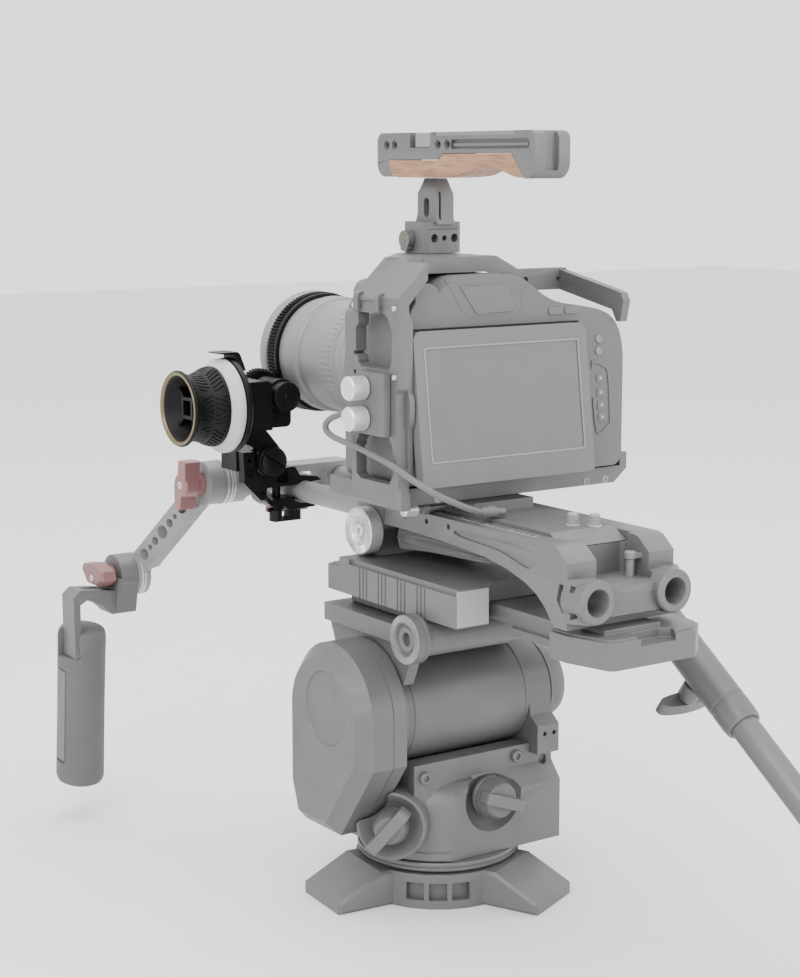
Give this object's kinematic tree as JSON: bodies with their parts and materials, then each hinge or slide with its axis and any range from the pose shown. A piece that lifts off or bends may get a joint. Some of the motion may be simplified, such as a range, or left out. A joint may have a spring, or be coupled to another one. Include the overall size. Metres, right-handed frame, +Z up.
{
  "type": "cinema camera rig",
  "caption": "Cinema camera in a cage on a shoulder base, with follow focus, hand grip, top handle and a fluid head on a tripod crown.",
  "frame": {"origin": "on the pan axis, at the flat bottom of the tripod crown", "axes": "+Z is up, +Y is the lens direction, +X is to the right of an operator behind the camera"},
  "size_m": [0.2915, 0.6405, 0.509],
  "materials": {
    "grey_alloy": "satin anodised, machined edges",
    "pale_alloy": "bead blasted",
    "bright_metal": "turned and knurled",
    "camera_plastic": "fine moulded texture",
    "screen": "smooth screen in a matte frame",
    "grip_rubber": "matte, fine texture",
    "pad_foam": "foam pad under woven cover",
    "pink_anodised": "satin anodised",
    "black_anodised": "satin black anodised",
    "black_plastic": "moulded gear plastic and wheel rubber",
    "white_disk": "write-on surface",
    "wood": "oiled, open grain",
    "cord_jacket": "smooth jacket"
  },
  "bodies": {
    "crown": {"tripod_crown": "grey_alloy", "pan_base": "grey_alloy"},
    "pan_head": {"pan_housing": "grey_alloy", "left_drive_cover": "grey_alloy", "right_cheek": "grey_alloy"},
    "pan_lock": {"pan_lock_knob": "grey_alloy"},
    "tilt_lock": {"tilt_lock_knob": "grey_alloy"},
    "tilt_head": {"tilt_drum": "grey_alloy", "head_platform": "grey_alloy", "handle_cross_tube": "grey_alloy", "quick_plate": "grey_alloy", "tripod_plate": "grey_alloy"},
    "pan_bar": {"handle_clamp": "grey_alloy", "handle_sleeve": "grey_alloy"},
    "sleeve_knob": {"sleeve_wing_knob": "grey_alloy"},
    "bar_tube": {"handle_inner_tube": "grey_alloy", "handle_grip": "grip_rubber"},
    "rig": {"base_rail": "grey_alloy", "shoulder_base": "grey_alloy", "front_rod_block": "grey_alloy", "side_rosette": "bright_metal", "rod_left": "pale_alloy", "rod_right": "pale_alloy", "shoulder_pad": "pad_foam", "arm_rod_clamp": "pale_alloy", "ff_rod_clamp": "black_anodised", "ff_lower_jaw": "black_anodised"},
    "rod_wing": {"rod_clamp_wing": "pink_anodised"},
    "arm": {"extension_arm": "pale_alloy"},
    "arm_knob": {"arm_wing_knob": "pink_anodised"},
    "grip": {"grip_bracket": "grey_alloy", "hand_grip": "grip_rubber"},
    "grip_knob": {"grip_wing_knob": "pink_anodised"},
    "ff_lever": {"ff_clamp_lever": "black_anodised"},
    "ff_release": {"ff_release_lever": "black_anodised"},
    "ff_head": {"ff_arm": "black_anodised", "ff_gearbox": "black_anodised"},
    "ff_pivot_knob": {"ff_arm_knob": "black_anodised"},
    "ff_gear": {"ff_drive_gear": "black_plastic"},
    "ff_wheel": {"ff_wheel": "black_plastic", "ff_marking_disk": "white_disk"},
    "ff_pointer": {"ff_pointer": "black_anodised"},
    "camera": {"camera_slide_plate": "grey_alloy", "camera_body": "camera_plastic", "lens_barrel": "pale_alloy", "cage_frame": "grey_alloy", "cable_clamp": "grey_alloy", "cable": "cord_jacket", "cable_plug": "black_plastic", "handle_post": "grey_alloy", "top_handle": "grey_alloy", "wood_grip": "wood"},
    "plate_pin": {"plate_release_pin": "bright_metal"},
    "lens_ring": {"lens_focus_ring": "pale_alloy", "focus_gear_ring": "black_plastic"},
    "lcd": {"lcd_panel": "screen"},
    "record_button": {"record_button": "pink_anodised"},
    "upper_knob": {"clamp_knob_upper": "bright_metal"},
    "lower_knob": {"clamp_knob_lower": "bright_metal"},
    "post_lever": {"post_clamp_lever": "grey_alloy"}
  },
  "joints": [
    {"name": "pan_turn", "type": "hinge", "parent": "crown", "child": "pan_head", "pos_m": [0, 0, 0.028], "axis": [0, 0, 1], "continuous": true},
    {"name": "tilt_turn", "type": "hinge", "parent": "pan_head", "child": "tilt_head", "pos_m": [0, 0, 0.13], "axis": [1, 0, 0], "range_deg": [-60, 60]},
    {"name": "pan_lock_turn", "type": "hinge", "parent": "pan_head", "child": "pan_lock", "pos_m": [-0.0634, -0.0354, 0.06], "axis": [-0.7071, -0.7071, 0], "range_deg": [-120, 120]},
    {"name": "tilt_lock_turn", "type": "hinge", "parent": "pan_head", "child": "tilt_lock", "pos_m": [0.012, -0.05, 0.07], "axis": [0, 1, 0], "range_deg": [-120, 120]},
    {"name": "pan_bar_angle", "type": "hinge", "parent": "tilt_head", "child": "pan_bar", "pos_m": [0.08, -0.063, 0.193], "axis": [1, 0, 0], "range_deg": [-45, 50]},
    {"name": "sleeve_knob_turn", "type": "hinge", "parent": "pan_bar", "child": "sleeve_knob", "pos_m": [0.112, -0.14053, 0.16211], "axis": [0, 0.5736, -0.8192], "range_deg": [-90, 90]},
    {"name": "bar_tube_slide", "type": "slide", "parent": "pan_bar", "child": "bar_tube", "axis": [0, -0.8192, -0.5736], "range_m": [-0.06, 0.05]},
    {"name": "base_slide", "type": "slide", "parent": "tilt_head", "child": "rig", "axis": [0, 1, 0], "range_m": [-0.02, 0.03]},
    {"name": "rod_wing_turn", "type": "hinge", "parent": "rig", "child": "rod_wing", "pos_m": [-0.01, 0.178, 0.24], "axis": [0, 0, 1], "range_deg": [-90, 90]},
    {"name": "arm_turn", "type": "hinge", "parent": "rig", "child": "arm", "pos_m": [-0.071, 0.1776, 0.2618], "axis": [1, 0, 0], "range_deg": [-40, 60]},
    {"name": "arm_knob_turn", "type": "hinge", "parent": "arm", "child": "arm_knob", "pos_m": [-0.095, 0.1776, 0.2618], "axis": [1, 0, 0], "range_deg": [-90, 90]},
    {"name": "grip_turn", "type": "hinge", "parent": "arm", "child": "grip", "pos_m": [-0.104, 0.253, 0.185], "axis": [1, 0, 0], "range_deg": [-60, 60]},
    {"name": "grip_knob_turn", "type": "hinge", "parent": "grip", "child": "grip_knob", "pos_m": [-0.125, 0.253, 0.185], "axis": [1, 0, 0], "range_deg": [-4, 15]},
    {"name": "ff_lever_turn", "type": "hinge", "parent": "rig", "child": "ff_lever", "pos_m": [-0.048, 0.131, 0.24], "axis": [0, 0, 1], "range_deg": [-90, 90]},
    {"name": "ff_release_swing", "type": "hinge", "parent": "rig", "child": "ff_release", "pos_m": [-0.08, 0.12, 0.286], "axis": [0, 1, 0], "range_deg": [0, 40]},
    {"name": "ff_swing", "type": "hinge", "parent": "rig", "child": "ff_head", "pos_m": [-0.0625, 0.12, 0.2845], "axis": [0, 1, 0], "range_deg": [-8, 0]},
    {"name": "ff_pivot_knob_turn", "type": "hinge", "parent": "rig", "child": "ff_pivot_knob", "pos_m": [-0.0625, 0.11, 0.2845], "axis": [0, 1, 0], "range_deg": [-90, 90]},
    {"name": "lens_ring_turn", "type": "hinge", "parent": "camera", "child": "lens_ring", "pos_m": [0, 0.145, 0.355], "axis": [0, 1, 0], "continuous": true},
    {"name": "ff_gear_turn", "type": "hinge", "parent": "ff_head", "child": "ff_gear", "pos_m": [-0.05289, 0.145, 0.32932], "axis": [0, 1, 0], "continuous": true},
    {"name": "ff_wheel_turn", "type": "hinge", "parent": "ff_head", "child": "ff_wheel", "pos_m": [-0.1, 0.12, 0.325], "axis": [1, 0, 0], "continuous": true},
    {"name": "ff_pointer_turn", "type": "hinge", "parent": "ff_head", "child": "ff_pointer", "pos_m": [-0.09, 0.12, 0.325], "axis": [1, 0, 0], "range_deg": [-40, 40]},
    {"name": "camera_slide", "type": "slide", "parent": "rig", "child": "camera", "axis": [0, 1, 0], "range_m": [-0.003, 0.009]},
    {"name": "plate_pin_pull", "type": "slide", "parent": "camera", "child": "plate_pin", "axis": [-1, 0, 0], "range_m": [0, 0.004], "stiffness_N_per_m": 400},
    {"name": "lcd_tilt", "type": "hinge", "parent": "camera", "child": "lcd", "pos_m": [0, -0.066, 0.387], "axis": [1, 0, 0], "range_deg": [-40, 7]},
    {"name": "record_press", "type": "slide", "parent": "camera", "child": "record_button", "axis": [0, 0, -1], "range_m": [0, 0.0012], "stiffness_N_per_m": 600},
    {"name": "upper_knob_turn", "type": "hinge", "parent": "camera", "child": "upper_knob", "pos_m": [-0.09, -0.043, 0.352], "axis": [1, 0, 0], "range_deg": [-180, 180]},
    {"name": "lower_knob_turn", "type": "hinge", "parent": "camera", "child": "lower_knob", "pos_m": [-0.09, -0.043, 0.333], "axis": [1, 0, 0], "range_deg": [-180, 180]},
    {"name": "post_lever_turn", "type": "hinge", "parent": "camera", "child": "post_lever", "pos_m": [-0.018, 0.012, 0.44], "axis": [1, 0, 0], "range_deg": [-90, 90]}
  ],
  "couplings": [
    {"joint": "ff_gear_turn", "follows": "lens_ring_turn", "ratio": -2.65},
    {"joint": "ff_wheel_turn", "follows": "lens_ring_turn", "ratio": -2.65}
  ]
}
